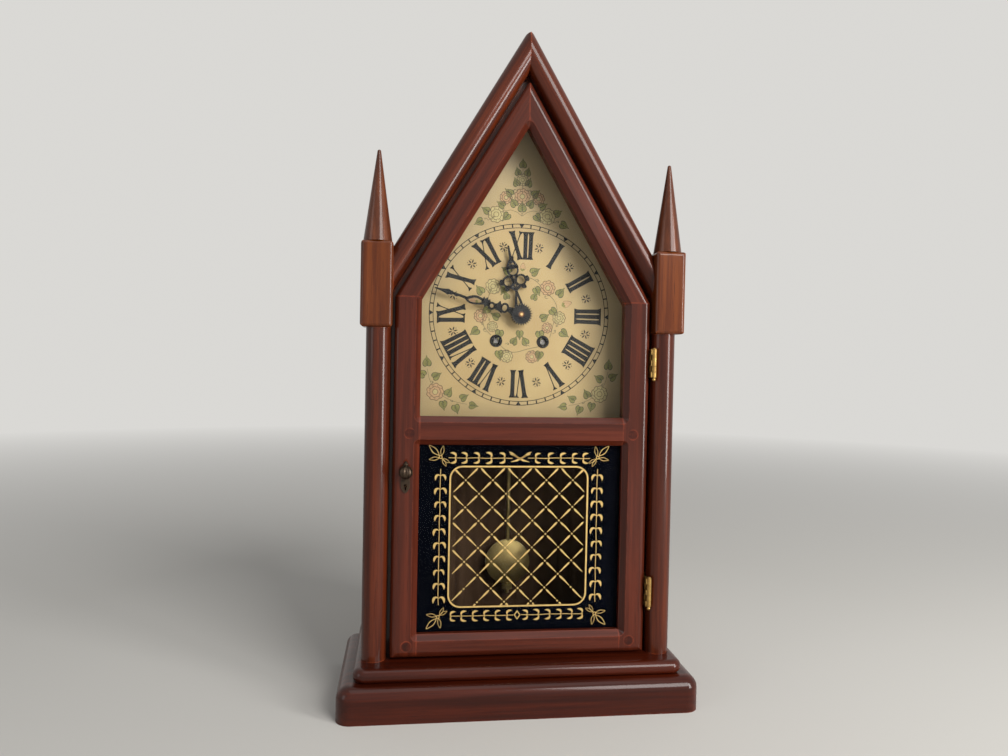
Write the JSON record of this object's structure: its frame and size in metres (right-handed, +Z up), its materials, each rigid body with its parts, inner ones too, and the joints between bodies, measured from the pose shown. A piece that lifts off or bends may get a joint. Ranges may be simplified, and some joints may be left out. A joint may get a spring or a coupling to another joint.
{
  "type": "steeple shelf clock",
  "caption": "Pointed wooden shelf clock on a stepped base, with columns, spires, a hinged glazed door, painted dial, spring-driven train, pendulum and rod gongs.",
  "frame": {"origin": "middle of the underside of the lower base", "axes": "+Z up, +X to the right of someone facing the dial, +Y to the back"},
  "size_m": [0.2702, 0.1152, 0.5087],
  "materials": {
    "case_mahogany": "varnished reddish brown mahogany, satin",
    "block_mahogany": "varnished mahogany, lighter and more orange",
    "door_mahogany": "varnished mahogany, redder",
    "plain_wood": "bare softwood",
    "dial_paint": "cream paint on sheet iron",
    "brass": "brushed brass",
    "dark_bronze": "aged bronze",
    "copper": "copper",
    "steel": "polished steel",
    "black_metal": "black enamel",
    "clear_glass": "clear float glass",
    "painted_glass": "glass painted from behind, nearly black"
  },
  "bodies": {
    "case": {"lower_base": "case_mahogany", "upper_base": "case_mahogany", "left_side": "case_mahogany", "right_side": "case_mahogany", "left_roof": "case_mahogany", "right_roof": "case_mahogany", "back_board": "plain_wood", "left_column": "case_mahogany", "right_column": "case_mahogany", "left_pinnacle": "block_mahogany", "right_pinnacle": "block_mahogany", "front_frame": "case_mahogany", "dial_board": "plain_wood", "dial_plate": "dial_paint", "winding_grommets": "black_metal", "back_screws": "steel", "latch_keeper": "brass", "hinge_case_leaves": "brass", "front_plate": "brass", "back_plate": "brass", "plate_pillars": "brass", "clicks": "steel", "suspension_cock": "brass", "gong_block": "black_metal", "gong_rods": "steel"},
    "door": {"door_left_stile": "door_mahogany", "door_right_stile": "door_mahogany", "door_bottom_rail": "door_mahogany", "door_middle_rail": "door_mahogany", "door_left_rafter": "door_mahogany", "door_right_rafter": "door_mahogany", "door_pegs": "door_mahogany", "upper_glass": "clear_glass", "lower_glass": "painted_glass", "glazing_beads": "door_mahogany", "hinge_door_leaves": "brass", "latch_escutcheon": "dark_bronze"},
    "latch": {"latch_knob": "dark_bronze", "latch_cam": "steel"},
    "minute_work": {"centre_wheel": "brass", "cannon_pinion": "copper", "minute_hand": "black_metal"},
    "hour_work": {"hour_wheel": "brass", "hour_hand": "black_metal"},
    "motion_work": {"minute_wheel": "brass"},
    "time_drum": {"time_barrel": "brass"},
    "time_second": {"time_second_wheel": "brass"},
    "third": {"third_wheel": "brass"},
    "escape": {"escape_wheel": "brass"},
    "rocker": {"anchor": "steel"},
    "pendulum": {"pendulum_rod": "brass"},
    "bob": {"pendulum_bob": "brass"},
    "nut": {"rating_nut": "brass"},
    "time_arbor": {"time_winding_arbor": "steel"},
    "strike_arbor": {"strike_winding_arbor": "steel"},
    "strike_drum": {"strike_barrel": "brass"},
    "strike_second": {"strike_second_wheel": "brass"},
    "strike_third": {"strike_third_wheel": "brass"},
    "fan": {"fly": "steel"},
    "striker": {"hammer": "steel"}
  },
  "joints": [
    {"name": "door_swing", "type": "hinge", "parent": "case", "child": "door", "pos_m": [0.1003, -0.0345, 0.173], "axis": [0, 0, 1], "range_deg": [0, 120]},
    {"name": "latch_turn", "type": "hinge", "parent": "door", "child": "latch", "pos_m": [-0.08787, -0.03, 0.1778], "axis": [0, 1, 0], "range_deg": [0, 90]},
    {"name": "minute_turn", "type": "hinge", "parent": "case", "child": "minute_work", "pos_m": [0, 0.02, 0.298], "axis": [0, 1, 0], "continuous": true},
    {"name": "hour_turn", "type": "hinge", "parent": "case", "child": "hour_work", "pos_m": [0, 0.02, 0.298], "axis": [0, 1, 0], "continuous": true},
    {"name": "motion_turn", "type": "hinge", "parent": "case", "child": "motion_work", "pos_m": [0, 0.007, 0.286], "axis": [0, 1, 0], "continuous": true},
    {"name": "time_barrel_turn", "type": "hinge", "parent": "case", "child": "time_drum", "pos_m": [0.01875, 0.02, 0.277], "axis": [0, 1, 0], "continuous": true},
    {"name": "time_second_turn", "type": "hinge", "parent": "case", "child": "time_second", "pos_m": [0.01764, 0.02, 0.29797], "axis": [0, 1, 0], "continuous": true},
    {"name": "third_turn", "type": "hinge", "parent": "case", "child": "third", "pos_m": [0.00629, 0.02, 0.31349], "axis": [0, 1, 0], "continuous": true},
    {"name": "escape_turn", "type": "hinge", "parent": "case", "child": "escape", "pos_m": [0, 0.02, 0.326], "axis": [0, 1, 0], "continuous": true},
    {"name": "time_winding", "type": "hinge", "parent": "case", "child": "time_arbor", "pos_m": [0.01875, 0.005, 0.277], "axis": [0, 1, 0], "continuous": true},
    {"name": "pendulum_swing", "type": "hinge", "parent": "case", "child": "pendulum", "pos_m": [0, 0.043, 0.338], "axis": [0, 1, 0], "range_deg": [-3.5, 3.5]},
    {"name": "anchor_rock", "type": "hinge", "parent": "case", "child": "rocker", "pos_m": [0, 0.02, 0.338], "axis": [0, 1, 0], "range_deg": [-3.5, 3.5]},
    {"name": "bob_slide", "type": "slide", "parent": "pendulum", "child": "bob", "axis": [0, 0, 1], "range_m": [-0.003, 0.003]},
    {"name": "nut_turn", "type": "hinge", "parent": "bob", "child": "nut", "pos_m": [0, 0.043, 0.068], "axis": [0, 0, 1], "range_deg": [-2160, 2160]},
    {"name": "strike_second_turn", "type": "hinge", "parent": "case", "child": "strike_second", "pos_m": [-0.02401, 0.02, 0.29733], "axis": [0, 1, 0], "continuous": true},
    {"name": "strike_barrel_turn", "type": "hinge", "parent": "case", "child": "strike_drum", "pos_m": [-0.01875, 0.02, 0.277], "axis": [0, 1, 0], "continuous": true},
    {"name": "strike_third_turn", "type": "hinge", "parent": "case", "child": "strike_third", "pos_m": [-0.01725, 0.02, 0.31183], "axis": [0, 1, 0], "continuous": true},
    {"name": "fly_turn", "type": "hinge", "parent": "case", "child": "fan", "pos_m": [-0.01931, 0.02, 0.32355], "axis": [0, 1, 0], "continuous": true},
    {"name": "strike_winding", "type": "hinge", "parent": "case", "child": "strike_arbor", "pos_m": [-0.01875, 0.005, 0.277], "axis": [0, 1, 0], "continuous": true},
    {"name": "hammer_lift", "type": "hinge", "parent": "case", "child": "striker", "pos_m": [-0.038, 0.02, 0.306], "axis": [0, -1, 0], "range_deg": [0, 25]}
  ],
  "couplings": [
    {"joint": "hour_turn", "follows": "minute_turn", "ratio": 0.083333},
    {"joint": "motion_turn", "follows": "minute_turn", "ratio": -0.33333},
    {"joint": "time_second_turn", "follows": "minute_turn", "ratio": -0.16667},
    {"joint": "time_barrel_turn", "follows": "minute_turn", "ratio": 0.027778},
    {"joint": "third_turn", "follows": "minute_turn", "ratio": -10},
    {"joint": "escape_turn", "follows": "minute_turn", "ratio": 90},
    {"joint": "anchor_rock", "follows": "pendulum_swing", "ratio": 1},
    {"joint": "nut_turn", "follows": "bob_slide", "rad_per_m": 12566},
    {"joint": "strike_second_turn", "follows": "strike_barrel_turn", "ratio": -6},
    {"joint": "strike_third_turn", "follows": "strike_barrel_turn", "ratio": 54},
    {"joint": "fly_turn", "follows": "strike_barrel_turn", "ratio": -405}
  ]
}
